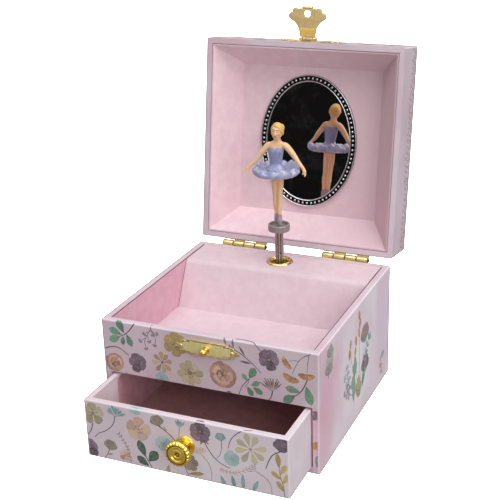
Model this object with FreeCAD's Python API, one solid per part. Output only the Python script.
import FreeCAD, Part
import math
import os

# Ballerina jewellery box: a papered board box with a tray, a drawer and a hinged lid with a mirror.
# Millimetres, +Z up, -Y is the front. The origin is the middle of the underside.
# The lid is modelled shut and then swung open, because the box stands open at rest.

V = FreeCAD.Vector

# ---- driving dimensions -------------------------------------------------------------------
BOX_W, BOX_D, BOX_H = 120.0, 119.0, 66.8
BOARD = 3.5
EDGE_R = 0.9
BASE_T = 3.0
APRON_BOTTOM = 37.0
DIVIDER_TOP = 40.5
TRAY_FLOOR_Z = 41.3
LINER_T = 0.7

COVER_T = 1.2
COVER_TOP = 66.5
COVER_EDGE_Y = 31.0
COVER_FOOT_Y = 17.6
COVER_ROLL_R = 4.0

LID_GAP = 0.3
LID_H = 25.8
LID_WALL = 3.1
LID_ANGLE = 98.8
HINGE_Y, HINGE_Z = 62.5, 66.9
LID_PANEL_DEPTH = 16.5
LID_PANEL_X = 43.3
LID_PANEL_Y0, LID_PANEL_Y1 = -44.6, 42.4

MIRROR_Y = -1.3
MIRROR_RX, MIRROR_RY = 30.2, 39.3
GLASS_RX, GLASS_RY = 25.9, 35.0
MIRROR_T = 1.8

HINGE_LEN = 28.0
HINGE_X = (-32.0, 32.0)
KNUCKLE_R = 1.8
HINGE_PIN_R = 0.8
RUN_GAP = 0.05

CLASP_X = 0.4
HASP_AXIS_Y, HASP_AXIS_Z = -61.3, 73.9
STUD_Z = 59.5
STUD_BALL_R = 1.9
HASP_HOLE_R = 2.25
PLATE_T = 0.7

DRAWER_W, DRAWER_D = 111.2, 113.5
DRAWER_Z0, DRAWER_Z1 = 3.4, 35.6
DRAWER_WALL = 3.2
DRAWER_OUT = 29.5
KNOB_X, KNOB_Z = 1.0, 20.8

DANCER_X, DANCER_Y = -2.2, 45.3
DANCER_TURN = 10.0
FOLD_Z = 74.9
STEM_R = 2.35
STEM_TOP = 86.0
DISC_R, DISC_TOP = 6.3, 90.0

BARREL_X, BARREL_Z = -2.2, 52.8
CROWN_TEETH, CROWN_R = 32, 8.0
SPINDLE_TEETH, SPINDLE_R = 8, 2.0
CYLINDER_TEETH, CYLINDER_PINION_R = 16, 4.0
CROWN_Y = DANCER_Y + SPINDLE_R
CYLINDER_Y = CROWN_Y - CYLINDER_PINION_R
GOVERNOR_Z = BARREL_Z + 6.1

HALF_W, HALF_D = BOX_W / 2, BOX_D / 2
LID_Z0 = BOX_H + LID_GAP
LID_Z1 = LID_Z0 + LID_H


# ---- helpers ------------------------------------------------------------------------------
def box(x0, x1, y0, y1, z0, z1):
    return Part.makeBox(x1 - x0, y1 - y0, z1 - z0, V(x0, y0, z0))


def rod(radius, start, end):
    """Cylinder between two points."""
    a, b = V(*start), V(*end)
    return Part.makeCylinder(radius, (b - a).Length, a, b - a)


def taper(r0, r1, start, end):
    """Cone frustum between two points."""
    a, b = V(*start), V(*end)
    if abs(r0 - r1) < 1e-6:
        return Part.makeCylinder(r0, (b - a).Length, a, b - a)
    return Part.makeCone(r0, r1, (b - a).Length, a, b - a)


def ball(radius, centre):
    return Part.makeSphere(radius, V(*centre))


def egg(rx, ry, rz, centre):
    """Ellipsoid with its own three radii."""
    shape = Part.makeSphere(1.0)
    matrix = FreeCAD.Matrix()
    matrix.scale(rx, ry, rz)
    shape = shape.transformGeometry(matrix)
    shape.translate(V(*centre))
    return shape


def fused(first, *others):
    shape = first
    for other in others:
        shape = shape.fuse(other)
    return shape.removeSplitter()


def prism(points, offset):
    """Closed polygon through the points, extruded by the offset."""
    corners = [V(*p) for p in points]
    wire = Part.makePolygon(corners + [corners[0]])
    return Part.Face(wire).extrude(V(*offset))


def oval(rx, ry, cx, cy, z0, height):
    """Elliptical plate standing on z0, its long radius along Y."""
    curve = Part.Ellipse(V(cx, cy, z0), max(rx, ry), min(rx, ry))
    wire = Part.Wire([curve.toShape()])
    if ry > rx:
        wire.rotate(V(cx, cy, z0), V(0, 0, 1), 90)
    return Part.Face(wire).extrude(V(0, 0, height))


def lofted(sections):
    """Solid through horizontal ellipses, each given as half width, half depth, Y and height."""
    wires = [Part.Wire([Part.Ellipse(V(0, y, z), rx, ry).toShape()]) for rx, ry, y, z in sections]
    return Part.makeLoft(wires, True, False)


def limb(stations):
    """Solid through circles that face along the limb; each station is X, Y, Z and a radius."""
    points = [V(*station[:3]) for station in stations]
    wires = []
    for index, station in enumerate(stations):
        before, after = points[max(index - 1, 0)], points[min(index + 1, len(points) - 1)]
        wires.append(Part.Wire([Part.Circle(points[index], after - before, station[3]).toShape()]))
    return Part.makeLoft(wires, True, False)


def turned(profile, origin, axis):
    """Solid of revolution: profile is (radius, distance along the axis) from the origin."""
    points = [V(r, 0, h) for r, h in profile]
    face = Part.Face(Part.makePolygon(points + [points[0]]))
    solid = face.revolve(V(0, 0, 0), V(0, 0, 1), 360)
    solid.Placement = FreeCAD.Placement(V(*origin), FreeCAD.Rotation(V(0, 0, 1), V(*axis)))
    return solid


def rounded(shape, radius, test):
    """Fillet every edge whose middle passes the test."""
    edges = [e for e in shape.Edges if test(e.CenterOfMass)]
    return shape.makeFillet(radius, edges)


def open_lid(shape):
    """Swing a piece that was modelled on the shut lid to where the open lid holds it."""
    swung = shape.copy()
    swung.rotate(V(0, HINGE_Y, HINGE_Z), V(1, 0, 0), -LID_ANGLE)
    return swung


def pulled(shape):
    """Move a piece of the shut drawer to where the drawer stands at rest."""
    moved = shape.copy()
    moved.translate(V(0, -DRAWER_OUT, 0))
    return moved


def gear_outline(teeth, pitch_r, addendum, dedendum, share, phase):
    """Points of a straight-sided gear: share is the tooth's part of the pitch at the pitch circle."""
    step = 2 * math.pi / teeth
    points = []
    for index in range(teeth):
        middle = phase + index * step
        root_half = step * share * 0.62
        tip_half = step * share * 0.34
        for radius, angle in ((pitch_r - dedendum, middle - root_half),
                              (pitch_r + addendum, middle - tip_half),
                              (pitch_r + addendum, middle + tip_half),
                              (pitch_r - dedendum, middle + root_half)):
            points.append((radius * math.cos(angle), radius * math.sin(angle)))
    return points


# ---- case ---------------------------------------------------------------------------------
def case_boards():
    outer = box(-HALF_W, HALF_W, -HALF_D, HALF_D, 0, BOX_H)
    outer = rounded(outer, EDGE_R, lambda c: c.z > 1)
    inner_x, inner_y = HALF_W - BOARD, HALF_D - BOARD
    boards = {}
    for name, sign in (("left_wall", -1), ("right_wall", 1)):
        x0, x1 = sorted((sign * inner_x, sign * HALF_W))
        wall = box(x0, x1, -HALF_D, HALF_D, 0, BOX_H)
        wall = wall.cut(box(x0, x1, -HALF_D, -inner_y, APRON_BOTTOM, BOX_H))
        boards[name] = wall.common(outer)
    back = box(-inner_x, inner_x, inner_y, HALF_D, 0, BOX_H)
    key_hole = rod(2.6, (BARREL_X, inner_y - 1, BARREL_Z), (BARREL_X, HALF_D + 1, BARREL_Z))
    boards["back_wall"] = back.cut(key_hole).common(outer)
    boards["front_apron"] = box(-HALF_W, HALF_W, -HALF_D, -inner_y, APRON_BOTTOM, BOX_H).common(outer)
    boards["base_board"] = box(-inner_x, inner_x, -HALF_D, inner_y, 0, BASE_T).common(outer)
    boards["divider_board"] = box(-inner_x, inner_x, -inner_y, inner_y, APRON_BOTTOM, DIVIDER_TOP)
    liner_top = BOX_H - 0.4
    floor_back = COVER_FOOT_Y + 2.0
    boards["tray_floor"] = box(-inner_x, inner_x, -inner_y, floor_back, DIVIDER_TOP, TRAY_FLOOR_Z)
    boards["tray_liner_front"] = box(-inner_x + LINER_T, inner_x - LINER_T, -inner_y, -inner_y + LINER_T,
                                     TRAY_FLOOR_Z, liner_top)
    for name, sign in (("tray_liner_left", -1), ("tray_liner_right", 1)):
        x0, x1 = sorted((sign * inner_x, sign * (inner_x - LINER_T)))
        boards[name] = box(x0, x1, -inner_y, inner_y, TRAY_FLOOR_Z, liner_top)
    return boards


def cover_outline(offset):
    """Corner points, in Y and Z, of the folded cover's outside, moved inwards by the offset."""
    run = COVER_EDGE_Y - COVER_FOOT_Y
    rise = COVER_TOP - TRAY_FLOOR_Z
    slope = math.atan2(run, rise)
    inward = offset * math.tan((math.pi / 2 - slope) / 2)
    top = (COVER_EDGE_Y + inward, COVER_TOP - offset)
    foot = (COVER_FOOT_Y + offset / math.cos(slope), TRAY_FLOOR_Z)
    return top, foot


def music_cover():
    """One card folded over the musical movement: a shelf with a sloped front."""
    back = HALF_D - BOARD
    half = HALF_W - BOARD - LINER_T - 0.35
    outer_top, outer_foot = cover_outline(0)
    inner_top, inner_foot = cover_outline(COVER_T)
    points = [(-half, outer_foot[0], outer_foot[1]), (-half, outer_top[0], outer_top[1]),
              (-half, back, COVER_TOP), (-half, back, COVER_TOP - COVER_T),
              (-half, inner_top[0], inner_top[1]), (-half, inner_foot[0], inner_foot[1])]
    card = prism(points, (2 * half, 0, 0))
    card = rounded(card, COVER_ROLL_R, lambda c: abs(c.x) < 1 and abs(c.y - outer_top[0]) < 0.01
                   and abs(c.z - outer_top[1]) < 0.01)
    card = rounded(card, COVER_ROLL_R - COVER_T, lambda c: abs(c.x) < 1 and abs(c.y - inner_top[0]) < 0.01
                   and abs(c.z - inner_top[1]) < 0.01)
    return card.cut(rod(5.1, (DANCER_X, DANCER_Y, 60), (DANCER_X, DANCER_Y, 70)))


def grommet():
    profile = [(4.3, -2.6), (5.05, -2.6), (5.05, 0), (6.5, 0), (6.35, 0.55), (5.7, 1.0), (4.9, 1.0),
               (4.3, 0.5)]
    return turned(profile, (DANCER_X, DANCER_Y, COVER_TOP), (0, 0, 1))


def stand_post():
    """Hollow post that rises through the grommet and ends in a flat tongue."""
    x, y = DANCER_X, DANCER_Y
    shoulder = FOLD_Z - 3.1
    foot = rod(5.9, (x, y, 63.2), (x, y, 63.9))
    post = rod(STEM_R, (x, y, 63.5), (x, y, shoulder))
    tongue = box(x - 0.8, x + 0.8, y - 1.9, y + 1.9, shoulder - 0.5, FOLD_Z)
    crown = rod(2.1, (x - 0.8, y, FOLD_Z), (x + 0.8, y, FOLD_Z))
    body = fused(foot, post, tongue, crown)
    body = body.cut(rod(HINGE_PIN_R - 0.1 + RUN_GAP, (x - 3, y, FOLD_Z), (x + 3, y, FOLD_Z)))
    return body.cut(rod(1.0 + RUN_GAP, (x, y, 63.0), (x, y, 68.3)))


def hinge(x_mid, on_lid):
    """Leaf plate with two of the four knuckles; the lid's leaf takes the second and the fourth."""
    x0 = x_mid - HINGE_LEN / 2
    piece = HINGE_LEN / 4
    face = HALF_D
    if on_lid:
        z0, z1, slots = LID_Z0 + 1.2, LID_Z0 + 9.2, (1, 3)
        neck_z = (HINGE_Z + 0.2, z0 + 0.5)
    else:
        z0, z1, slots = BOX_H - 9.4, BOX_H - 1.4, (0, 2)
        neck_z = (z1 - 0.5, HINGE_Z - 0.2)
    plate = box(x0 + 0.1, x0 + HINGE_LEN - 0.1, face, face + PLATE_T, z0, z1)
    for index in slots:
        a = x0 + index * piece + 0.06
        b = a + piece - 0.12
        web = prism([(a, face, neck_z[0]), (a, HINGE_Y, neck_z[0]), (a, HINGE_Y, neck_z[1]),
                     (a, face, neck_z[1])], (b - a, 0, 0))
        web = web.cut(box(a - 1, b + 1, face - 1, face + 0.3, HINGE_Z - 1.5, HINGE_Z + 1.5))
        plate = plate.fuse(web).fuse(rod(KNUCKLE_R, (a, HINGE_Y, HINGE_Z), (b, HINGE_Y, HINGE_Z)))
    bore = rod(HINGE_PIN_R + RUN_GAP, (x0 - 1, HINGE_Y, HINGE_Z), (x0 + HINGE_LEN + 1, HINGE_Y, HINGE_Z))
    return plate.cut(bore).removeSplitter()


def hinge_pin(x_mid):
    half = HINGE_LEN / 2
    return rod(HINGE_PIN_R, (x_mid - half - 0.2, HINGE_Y, HINGE_Z), (x_mid + half + 0.2, HINGE_Y, HINGE_Z))


def ornate_plate(z_mid, y_out, y_in):
    """Slim plate with waisted, three-lobed ends, lying against a front face."""
    half_h, body_half, x = 4.1, 11.6, CLASP_X
    plate = box(x - body_half, x + body_half, y_out, y_in, z_mid - half_h, z_mid + half_h)
    for sign in (-1, 1):
        taper_end = [(x + sign * body_half, y_out, z_mid - 3.4), (x + sign * 15.6, y_out, z_mid - 1.5),
                     (x + sign * 15.6, y_out, z_mid + 1.5), (x + sign * body_half, y_out, z_mid + 3.4)]
        plate = plate.fuse(prism(taper_end, (0, y_in - y_out, 0)))
        for lobe_x, lobe_z, radius in ((14.1, 1.9, 1.15), (14.1, -1.9, 1.15), (16.7, 0.0, 1.25)):
            centre = (x + sign * lobe_x, y_out, z_mid + lobe_z)
            plate = plate.fuse(rod(radius, centre, (centre[0], y_in, centre[2])))
        notch = (x + sign * body_half, z_mid)
        for side in (-1, 1):
            z = notch[1] + side * half_h
            plate = plate.cut(rod(0.8, (notch[0], y_out - 1, z), (notch[0], y_in + 1, z)))
    return plate.removeSplitter()


def ball_stud():
    """Turned stud: a foot, a thin neck and the ball the hasp snaps over."""
    face = -HALF_D - PLATE_T
    ball_y = face - 3.9
    foot = rod(1.7, (CLASP_X, face, STUD_Z), (CLASP_X, face - 0.5, STUD_Z))
    neck = rod(1.0, (CLASP_X, face - 0.2, STUD_Z), (CLASP_X, ball_y, STUD_Z))
    tail = rod(0.9, (CLASP_X, face - 0.1, STUD_Z), (CLASP_X, -HALF_D + 2.4, STUD_Z))
    return fused(foot, neck, tail, ball(STUD_BALL_R, (CLASP_X, ball_y, STUD_Z)))


# ---- lid ----------------------------------------------------------------------------------
def lid_boards():
    outer = box(-HALF_W, HALF_W, -HALF_D, HALF_D, LID_Z0, LID_Z1)
    outer = rounded(outer, EDGE_R, lambda c: c.z > LID_Z0 + 1)
    inner_x, inner_y = HALF_W - LID_WALL, HALF_D - LID_WALL
    under = LID_Z1 - LID_WALL
    boards = {
        "lid_top": box(-HALF_W, HALF_W, -HALF_D, HALF_D, under, LID_Z1).common(outer),
        "lid_front_wall": box(-HALF_W, HALF_W, -HALF_D, -inner_y, LID_Z0, under).common(outer),
        "lid_back_wall": box(-HALF_W, HALF_W, inner_y, HALF_D, LID_Z0, under).common(outer),
        "lid_left_wall": box(-HALF_W, -inner_x, -inner_y, inner_y, LID_Z0, under).common(outer),
        "lid_right_wall": box(inner_x, HALF_W, -inner_y, inner_y, LID_Z0, under).common(outer),
    }
    return boards


def frustum(x_low, y0_low, y1_low, z_low, x_high, y0_high, y1_high, z_high):
    def rectangle(x, y0, y1, z):
        points = [V(-x, y0, z), V(x, y0, z), V(x, y1, z), V(-x, y1, z)]
        return Part.makePolygon(points + [points[0]])

    return Part.makeLoft([rectangle(x_low, y0_low, y1_low, z_low),
                          rectangle(x_high, y0_high, y1_high, z_high)], True, True)


def lid_liner():
    """Thin card tray with sloped sides, set into the lid."""
    rim_x, rim_y = HALF_W - LID_WALL - 0.3, HALF_D - LID_WALL - 0.3
    z0, z1 = LID_Z0 + 0.3, LID_Z0 + LID_PANEL_DEPTH
    wall = 0.9
    outside = frustum(rim_x, -rim_y, rim_y, z0,
                      LID_PANEL_X + 1.0, LID_PANEL_Y0 - 1.0, LID_PANEL_Y1 + 1.0, z1 + wall)
    inside = frustum(rim_x - wall + 0.1, -rim_y + wall - 0.1, rim_y - wall + 0.1, z0,
                     LID_PANEL_X, LID_PANEL_Y0, LID_PANEL_Y1, z1)
    return outside.cut(inside)


def mirror_frame():
    """Oval frame: two raised rims with a channel between them for the beads."""
    back = LID_Z0 + LID_PANEL_DEPTH
    ring = oval(MIRROR_RX, MIRROR_RY, 0, MIRROR_Y, back - MIRROR_T, MIRROR_T)
    ring = ring.cut(oval(GLASS_RX + 0.05, GLASS_RY + 0.05, 0, MIRROR_Y, back - MIRROR_T, MIRROR_T))
    channel = oval(MIRROR_RX - 0.9, MIRROR_RY - 0.9, 0, MIRROR_Y, back - MIRROR_T, 1.0)
    channel = channel.cut(oval(GLASS_RX + 0.95, GLASS_RY + 0.95, 0, MIRROR_Y, back - MIRROR_T, 1.0))
    return ring.cut(channel)


def mirror_glass():
    back = LID_Z0 + LID_PANEL_DEPTH
    return oval(GLASS_RX, GLASS_RY, 0, MIRROR_Y, back - 1.1, 1.1)


def hasp_plate():
    """Plate on the lid's front with two knuckles at its lower edge."""
    plate = ornate_plate(HASP_AXIS_Z + 3.9, -HALF_D - PLATE_T, -HALF_D)
    for x in (CLASP_X - 4.9, CLASP_X + 3.1):
        plate = plate.cut(box(x - 0.1, x + 1.9, -HALF_D - 3, -HALF_D - 0.05, HASP_AXIS_Z - 2, HASP_AXIS_Z + 1.5))
        lug = box(x, x + 1.8, HASP_AXIS_Y, -HALF_D, HASP_AXIS_Z - 0.45, HASP_AXIS_Z + 1.6)
        plate = plate.fuse(lug).fuse(rod(1.05, (x, HASP_AXIS_Y, HASP_AXIS_Z),
                                         (x + 1.8, HASP_AXIS_Y, HASP_AXIS_Z)))
    gap = box(CLASP_X - 3.1, CLASP_X + 3.1, -HALF_D - 3, -HALF_D - 0.05, HASP_AXIS_Z - 2, HASP_AXIS_Z + 1.5)
    bore = rod(0.5 + RUN_GAP, (CLASP_X - 8, HASP_AXIS_Y, HASP_AXIS_Z), (CLASP_X + 8, HASP_AXIS_Y, HASP_AXIS_Z))
    return plate.cut(gap).cut(bore).removeSplitter()


def hasp_pin():
    return rod(0.5, (CLASP_X - 5.0, HASP_AXIS_Y, HASP_AXIS_Z), (CLASP_X + 5.0, HASP_AXIS_Y, HASP_AXIS_Z))


def hasp():
    """Fan-shaped hasp, modelled fastened: hanging from its knuckle over the ball stud."""
    y_out, y_in = HASP_AXIS_Y - 0.05, HASP_AXIS_Y + 0.7
    outline = [(2.9, 0.9), (3.2, 2.2), (4.6, 2.6), (4.8, 4.2), (5.3, 6.0), (6.4, 8.2), (8.1, 10.0),
               (10.1, 11.2), (11.2, 12.6), (11.3, 13.6), (10.4, 14.6), (9.0, 15.0), (8.7, 16.2), (7.7, 17.3),
               (4.0, 17.5), (2.9, 17.1)]
    right = [(CLASP_X + x, y_out, HASP_AXIS_Z - drop) for x, drop in outline]
    left = [(CLASP_X - x, y_out, HASP_AXIS_Z - drop) for x, drop in reversed(outline)]
    fan = prism(right + left, (0, y_in - y_out, 0))
    knuckle = rod(1.05, (CLASP_X - 2.95, HASP_AXIS_Y, HASP_AXIS_Z), (CLASP_X + 2.95, HASP_AXIS_Y, HASP_AXIS_Z))
    lip = rod(0.75, (CLASP_X - 2.9, y_out - 0.1, HASP_AXIS_Z - 17.2),
              (CLASP_X + 2.9, y_out - 0.1, HASP_AXIS_Z - 17.2))
    shape = fused(fan, knuckle, lip)
    shape = shape.cut(rod(HASP_HOLE_R, (CLASP_X, y_out - 2, STUD_Z), (CLASP_X, y_in + 2, STUD_Z)))
    bore = rod(0.5 + RUN_GAP, (CLASP_X - 8, HASP_AXIS_Y, HASP_AXIS_Z), (CLASP_X + 8, HASP_AXIS_Y, HASP_AXIS_Z))
    shape = shape.cut(bore)
    shape.rotate(V(0, HASP_AXIS_Y, HASP_AXIS_Z), V(1, 0, 0), LID_ANGLE - 180)
    return shape


# ---- drawer -------------------------------------------------------------------------------
def drawer_parts():
    x, t = DRAWER_W / 2, DRAWER_WALL
    y0, y1 = -HALF_D, -HALF_D + DRAWER_D
    z0, z1 = DRAWER_Z0, DRAWER_Z1
    block = box(-x, x, y0, y1, z0, z1)
    block = rounded(block, EDGE_R - 0.1, lambda c: c.z > z1 - 0.1 or (c.y < y0 + 0.1 and c.z > z0 + 0.1))
    front = box(-x, x, y0, y0 + t, z0, z1).common(block)
    front = front.cut(rod(1.7, (KNOB_X, y0 - 1, KNOB_Z), (KNOB_X, y0 + t + 1, KNOB_Z)))
    bottom_top = z0 + 2.6
    return {
        "drawer_front": front,
        "drawer_left_side": box(-x, -x + t, y0 + t, y1, z0, z1).common(block),
        "drawer_right_side": box(x - t, x, y0 + t, y1, z0, z1).common(block),
        "drawer_back": box(-x + t, x - t, y1 - t, y1, z0, z1).common(block),
        "drawer_bottom": box(-x + t, x - t, y0 + t, y1 - t, z0, bottom_top),
        "drawer_lining": box(-x + t + 0.3, x - t - 0.3, y0 + t + 0.3, y1 - t - 0.3, bottom_top,
                             bottom_top + 0.8),
    }


def knob():
    """Turned brass knob: flange, waist and a wide head with a shallow centre dimple."""
    profile = [(0, 2.2), (1.5, 2.2), (1.5, 0), (5.1, 0), (5.1, 0.6), (4.5, 1.1), (3.1, 1.5), (2.6, 2.6),
               (2.9, 4.0), (4.0, 5.4), (5.4, 6.4), (6.4, 7.0), (6.75, 7.9), (6.6, 8.9), (5.9, 9.6),
               (4.6, 10.0), (3.5, 9.9), (3.1, 9.3), (1.5, 9.6), (1.0, 9.2), (0, 9.0)]
    return turned(profile, (KNOB_X, -HALF_D, KNOB_Z), (0, -1, 0))


def knob_screw():
    inner = -HALF_D + DRAWER_WALL
    shank = rod(1.45, (KNOB_X, inner + 0.2, KNOB_Z), (KNOB_X, -HALF_D - 2.0, KNOB_Z))
    head = turned([(0, 0), (2.9, 0), (2.7, 0.9), (1.7, 1.5), (0, 1.6)], (KNOB_X, inner, KNOB_Z), (0, 1, 0))
    slot = box(KNOB_X - 3, KNOB_X + 3, inner + 1.0, inner + 2, KNOB_Z - 0.3, KNOB_Z + 0.3)
    return fused(shank, head).cut(slot)


# ---- dancer -------------------------------------------------------------------------------
def stem_fork():
    """Fluted stem that folds on the post; its fork straddles the tongue."""
    x, y = DANCER_X, DANCER_Y
    stem = rod(STEM_R, (x, y, FOLD_Z), (x, y, STEM_TOP))
    for index in range(12):
        angle = math.radians(30 * index + 15)
        cx = x + (STEM_R + 0.12) * math.cos(angle)
        cy = y + (STEM_R + 0.12) * math.sin(angle)
        stem = stem.cut(rod(0.32, (cx, cy, FOLD_Z + 2.9), (cx, cy, STEM_TOP - 0.6)))
    end = rod(STEM_R, (x - STEM_R, y, FOLD_Z), (x + STEM_R, y, FOLD_Z))
    end = end.common(rod(STEM_R, (x, y, FOLD_Z - 4), (x, y, FOLD_Z + 4)))
    shape = stem.fuse(end).removeSplitter()
    shape = shape.cut(box(x - 0.88, x + 0.88, y - 3, y + 3, FOLD_Z - 4, FOLD_Z + 2.7))
    shape = shape.cut(rod(HINGE_PIN_R - 0.1 + RUN_GAP, (x - 4, y, FOLD_Z), (x + 4, y, FOLD_Z)))
    return shape.cut(rod(0.8 + RUN_GAP, (x, y, STEM_TOP - 6.5), (x, y, STEM_TOP + 1)))


def stem_pin():
    x, y = DANCER_X, DANCER_Y
    return rod(HINGE_PIN_R - 0.1, (x - STEM_R + 0.15, y, FOLD_Z), (x + STEM_R - 0.15, y, FOLD_Z))


def dancer_disc():
    """Round turntable with a raised rim, on a pin that turns in the stem."""
    x, y = DANCER_X, DANCER_Y
    profile = [(0, 0.1), (DISC_R - 0.5, 0.1), (DISC_R, 0.6), (DISC_R, 3.6), (DISC_R - 0.5, 4.0),
               (DISC_R - 1.4, 4.0), (DISC_R - 1.6, 3.1), (0, 3.1)]
    disc = turned(profile, (x, y, DISC_TOP - 4.0), (0, 0, 1))
    return fused(disc, rod(0.8, (x, y, STEM_TOP - 6.0), (x, y, STEM_TOP + 1.0)))


def facing(shape):
    """Turn a piece of the dancer about her own axis and stand it on the turntable's centre."""
    turned_shape = shape.copy()
    turned_shape.rotate(V(0, 0, 0), V(0, 0, 1), DANCER_TURN)
    turned_shape.translate(V(DANCER_X, DANCER_Y, 0))
    return turned_shape


def dancer_pieces():
    foot_z = DISC_TOP - 0.9
    slippers = lofted(((2.5, 2.4, -0.5, foot_z), (2.6, 2.3, -0.4, foot_z + 2.5), (2.2, 1.6, 0.0, 95.9)))
    legs = [lofted(((0.95, 0.95, 0.0, 95.9), (1.4, 1.4, 0.25, 101.5), (1.25, 1.25, 0.0, 106.5),
                    (1.9, 1.9, 0.0, 121.5))) for _ in range(2)]
    for leg, sign in zip(legs, (-1, 1)):
        leg.rotate(V(0, 0, 95.9), V(0, 1, 0), sign * 1.6)
        leg.translate(V(sign * 1.05, 0, 0))
    torso = lofted(((3.7, 2.7, 0, 120.0), (3.1, 2.3, 0, 125.5), (3.6, 2.6, 0, 130.5), (3.9, 2.4, 0, 134.5)))
    upper = lofted(((3.9, 2.4, 0, 134.5), (4.2, 2.0, 0, 136.3), (1.5, 1.45, 0, 137.8),
                    (1.35, 1.3, 0, 140.5)))
    head = egg(3.3, 3.7, 4.6, (0, -0.4, 144.4))
    figure = torso.fuse(upper).fuse(legs[0]).fuse(legs[1]).fuse(head).cut(slippers)
    for sign in (-1, 1):
        figure = figure.fuse(limb(((sign * 2.6, 0.0, 135.9, 1.3), (sign * 5.0, -0.1, 135.3, 1.4),
                                   (sign * 10.6, -0.9, 128.6, 1.15), (sign * 15.3, -1.8, 121.9, 0.85),
                                   (sign * 16.0, -2.0, 120.6, 1.0), (sign * 16.8, -2.2, 118.8, 0.6))))
    hair = egg(3.75, 4.1, 4.6, (0, 0.35, 145.6)).fuse(ball(1.9, (0, 4.0, 147.2)))
    hair = hair.cut(box(-6, 6, -8, -2.2, 138, 148.3)).cut(box(-6, 6, -8, 8, 138, 142.0))
    bodice = lofted(((4.4, 3.4, 0, 123.6), (3.55, 2.8, 0, 126.6), (4.1, 3.3, 0, 130.6), (4.35, 3.0, 0, 134.3)))
    rim = [(2.0, 121.0), (5.0, 120.3), (9.5, 119.6), (12.4, 120.0), (13.3, 121.6), (13.3, 123.2),
           (11.8, 124.7), (9.5, 124.6), (6.0, 123.9), (2.0, 123.6)]
    tutu = turned(rim, (0, 0, 0), (0, 0, 1))
    tutu = tutu.cut(figure).cut(bodice)
    bodice = bodice.cut(figure)
    hair = hair.cut(figure)
    solids = {"dancer_slippers": slippers, "dancer_figure": figure, "dancer_bodice": bodice,
              "dancer_tutu": tutu, "dancer_hair": hair}
    result = {}
    for name, shape in solids.items():
        biggest = max(shape.Solids, key=lambda s: s.Volume)
        result[name] = facing(biggest)
    return result


# ---- musical movement ---------------------------------------------------------------------
def bedplate():
    """Bent plate: its back stands on the back wall, its foot lies on the divider board."""
    back = HALF_D - BOARD
    upright = box(-14, 48, back - 1.2, back, DIVIDER_TOP + 0.1, 64.0)
    foot = box(-14, 48, 26.0, back - 1.0, DIVIDER_TOP + 0.1, DIVIDER_TOP + 1.3)
    plate = fused(upright, foot)
    plate = plate.cut(rod(1.5 + RUN_GAP, (BARREL_X, back - 3, BARREL_Z), (BARREL_X, back + 1, BARREL_Z)))
    return plate


def bearing_bracket(x0, x1, low, high, bores):
    """Upright plate standing on the bedplate's foot, with one bore for each shaft."""
    plate = box(x0, x1, CYLINDER_Y - 3.2, HALF_D - BOARD - 1.2, low, high)
    for z in bores:
        plate = plate.cut(rod(0.8 + RUN_GAP, (x0 - 1, CYLINDER_Y, z), (x1 + 1, CYLINDER_Y, z)))
    return plate


def spindle_bracket():
    """Arm from the bedplate that holds the upright spindle just above its pinion."""
    z0, z1 = BARREL_Z + 9.8, BARREL_Z + 10.3
    x, y = DANCER_X, DANCER_Y
    arm = box(x - 3.5, x + 3.5, y - 3.5, HALF_D - BOARD - 1.2, z0, z1)
    return arm.cut(rod(1.0 + RUN_GAP, (x, y, z0 - 1), (x, y, z1 + 1)))


def crown_teeth(face_y):
    """Radial teeth that stand on the drum's face, towards the front."""
    step = 2 * math.pi / CROWN_TEETH
    teeth = None
    for index in range(CROWN_TEETH):
        tooth = prism([(6.6, face_y + 0.1, -0.42), (6.6, CROWN_Y - 0.42, -0.22), (6.6, CROWN_Y - 0.42, 0.22),
                       (6.6, face_y + 0.1, 0.42)], (2.8, 0, 0))
        tooth.rotate(V(0, 0, 0), V(0, 1, 0), math.degrees(index * step))
        teeth = tooth if teeth is None else teeth.fuse(tooth)
    teeth.translate(V(BARREL_X, 0, BARREL_Z))
    return teeth


def spring_barrel():
    face_y = CROWN_Y + 0.7
    back_y = HALF_D - BOARD - 1.7
    drum = rod(9.5, (BARREL_X, face_y, BARREL_Z), (BARREL_X, back_y, BARREL_Z))
    drum = drum.cut(rod(8.7, (BARREL_X, face_y + 0.8, BARREL_Z), (BARREL_X, back_y - 0.8, BARREL_Z)))
    drum = drum.fuse(rod(2.3, (BARREL_X, face_y + 0.5, BARREL_Z), (BARREL_X, back_y - 0.5, BARREL_Z)))
    drum = drum.fuse(crown_teeth(face_y))
    return drum.cut(rod(1.5, (BARREL_X, face_y - 3, BARREL_Z), (BARREL_X, back_y + 1, BARREL_Z)))


def winding_arbor():
    face_y = CROWN_Y + 0.7
    return rod(1.5, (BARREL_X, face_y - 1.2, BARREL_Z), (BARREL_X, HALF_D + 8.0, BARREL_Z))


def winding_key():
    """Butterfly key on the arbor's end, behind the back wall."""
    x, z = BARREL_X, BARREL_Z
    y0 = HALF_D + 2.0
    hub = rod(3.4, (x, y0, z), (x, y0 + 8.0, z))
    wings = hub
    for sign in (-1, 1):
        ear = rod(5.6, (x + sign * 6.8, y0 + 9.5, z - 0.75), (x + sign * 6.8, y0 + 9.5, z + 0.75))
        wings = wings.fuse(ear)
    bridge = box(x - 6.0, x + 6.0, y0 + 4.5, y0 + 9.5, z - 0.75, z + 0.75)
    wings = wings.fuse(bridge)
    for sign in (-1, 1):
        wings = wings.cut(rod(2.6, (x + sign * 7.2, y0 + 9.5, z - 2), (x + sign * 7.2, y0 + 9.5, z + 2)))
    return wings.cut(rod(1.5, (x, y0 - 1, z), (x, HALF_D + 8.0, z))).removeSplitter()


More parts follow.
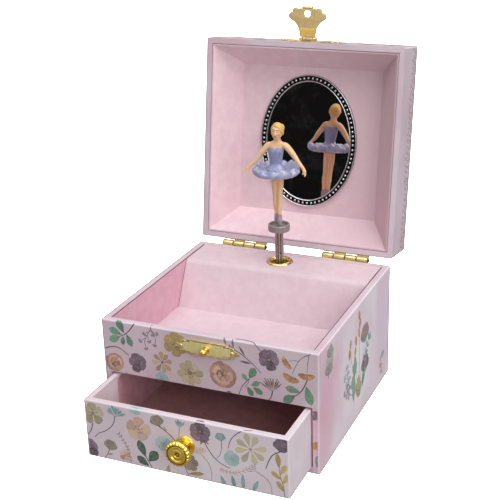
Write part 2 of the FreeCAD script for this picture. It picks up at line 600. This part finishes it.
def drive_spindle():
    """Upright spindle with the pinion that the crown teeth drive."""
    x, y = DANCER_X, DANCER_Y
    phase = math.pi / 2 + math.pi / SPINDLE_TEETH
    outline = gear_outline(SPINDLE_TEETH, SPINDLE_R, 0.42, 0.5, 0.5, phase)
    z0, z1 = BARREL_Z + 7.2, BARREL_Z + 9.2
    pinion = prism([(x + a, y + b, z0) for a, b in outline], (0, 0, z1 - z0))
    return fused(pinion, rod(1.0, (x, y, z1 - 0.5), (x, y, 68.0)))


def pinned_cylinder():
    """Cylinder on its shaft: the pins that pluck the comb, the driven pinion and the end wheel."""
    y, z = CYLINDER_Y, BARREL_Z
    shaft = rod(0.8, (BARREL_X + 5.4, y, z), (39.0, y, z))
    drum = rod(4.4, (10.2, y, z), (33.0, y, z))
    phase = math.pi / CYLINDER_TEETH
    outline = gear_outline(CYLINDER_TEETH, CYLINDER_PINION_R, 0.42, 0.55, 0.5, phase)
    x0 = BARREL_X + 7.2
    pinion = prism([(x0, y + a, z + b) for a, b in outline], (1.6, 0, 0))
    outline = gear_outline(32, 4.8, 0.26, 0.34, 0.46, 0.0)
    wheel = prism([(34.2, y + a, z + b) for a, b in outline], (1.2, 0, 0))
    shape = shaft.fuse(drum).fuse(pinion).fuse(wheel)
    for row in range(18):
        x = 11.4 + row * 1.2
        for turn in range(3):
            angle = math.radians((row * 67 + turn * 131) % 360)
            if abs(math.degrees(angle) - 180) < 22:
                continue
            tip = (x, y + 4.9 * math.cos(angle), z + 4.9 * math.sin(angle))
            root = (x, y + 4.2 * math.cos(angle), z + 4.2 * math.sin(angle))
            shape = shape.fuse(rod(0.18, root, tip))
    return shape


def governor():
    """Pinion and air brake on one thin shaft; it limits the speed of the tune."""
    y, z = CYLINDER_Y, GOVERNOR_Z
    outline = gear_outline(8, 1.2, 0.24, 0.34, 0.46, -math.pi / 2 + math.pi / 8)
    pinion = prism([(34.2, y + a, z + b) for a, b in outline], (1.2, 0, 0))
    shaft = rod(0.8, (34.9, y, z), (47.0, y, z))
    fan = box(39.6, 45.0, y - 4.3, y + 4.3, z - 0.25, z + 0.25)
    return fused(pinion, shaft, fan)


def comb_block():
    return box(9.6, 34.0, 29.0, 33.4, DIVIDER_TOP + 1.3, BARREL_Z - 0.9)


def comb():
    """Steel comb: eighteen tongues whose tips reach the cylinder's pins."""
    z0, z1 = BARREL_Z - 0.9, BARREL_Z - 0.1
    tip_y = CYLINDER_Y - 5.3
    root = box(9.6, 34.0, 27.8, 32.8, z0, z1)
    for row in range(18):
        x = 11.4 + row * 1.2
        root = root.fuse(box(x - 0.45, x + 0.45, 32.7, tip_y, z0 + 0.25, z1 - 0.1))
    return root


def main():
    shapes = {}
    shapes.update(case_boards())
    shapes["music_cover"] = music_cover()
    shapes["grommet"] = grommet()
    shapes["stand_post"] = stand_post()
    shapes["catch_plate"] = ornate_plate(STUD_Z, -HALF_D - PLATE_T, -HALF_D)
    shapes["ball_stud"] = ball_stud()
    stud_hole = rod(0.9, (CLASP_X, -HALF_D - 2, STUD_Z), (CLASP_X, -HALF_D + 2.4, STUD_Z))
    shapes["catch_plate"] = shapes["catch_plate"].cut(stud_hole)
    shapes["front_apron"] = shapes["front_apron"].cut(stud_hole)
    for name, x_mid in (("left", HINGE_X[0]), ("right", HINGE_X[1])):
        shapes["hinge_case_leaf_" + name] = hinge(x_mid, False)
        shapes["hinge_lid_leaf_" + name] = open_lid(hinge(x_mid, True))
        shapes["hinge_pin_" + name] = hinge_pin(x_mid)
    for name, shape in lid_boards().items():
        shapes[name] = open_lid(shape)
    for name, shape in (("lid_liner", lid_liner()), ("mirror_frame", mirror_frame()),
                        ("mirror_glass", mirror_glass()), ("hasp_plate", hasp_plate()),
                        ("hasp_pin", hasp_pin()), ("hasp", hasp())):
        shapes[name] = open_lid(shape)
    for name, shape in drawer_parts().items():
        shapes[name] = pulled(shape)
    shapes["knob"] = pulled(knob())
    shapes["knob_screw"] = pulled(knob_screw())
    shapes["stem_fork"] = stem_fork()
    shapes["stem_pin"] = stem_pin()
    shapes["dancer_disc"] = dancer_disc()
    shapes.update(dancer_pieces())
    shapes["bedplate"] = bedplate()
    foot_top = DIVIDER_TOP + 1.3
    shapes["cylinder_bracket"] = bearing_bracket(8.0, 9.0, foot_top, BARREL_Z + 3.0, (BARREL_Z,))
    shapes["governor_bracket"] = bearing_bracket(36.4, 37.6, foot_top, GOVERNOR_Z + 3.0,
                                                 (BARREL_Z, GOVERNOR_Z))
    shapes["spindle_bracket"] = spindle_bracket()
    shapes["comb_block"] = comb_block()
    shapes["comb"] = comb()
    shapes["spring_barrel"] = spring_barrel()
    shapes["winding_arbor"] = winding_arbor()
    shapes["winding_key"] = winding_key()
    shapes["drive_spindle"] = drive_spindle()
    shapes["pinned_cylinder"] = pinned_cylinder()
    shapes["governor"] = governor()

    os.makedirs("parts", exist_ok=True)
    for name, shape in shapes.items():
        solids = shape.Solids
        print(name, "solids", len(solids), "valid", shape.isValid(), "volume", round(shape.Volume, 1))
        shape = solids[0] if len(solids) == 1 else shape
        shape.exportStep(os.path.join("parts", name + ".step"))
    print(len(shapes), "nodes")


main()
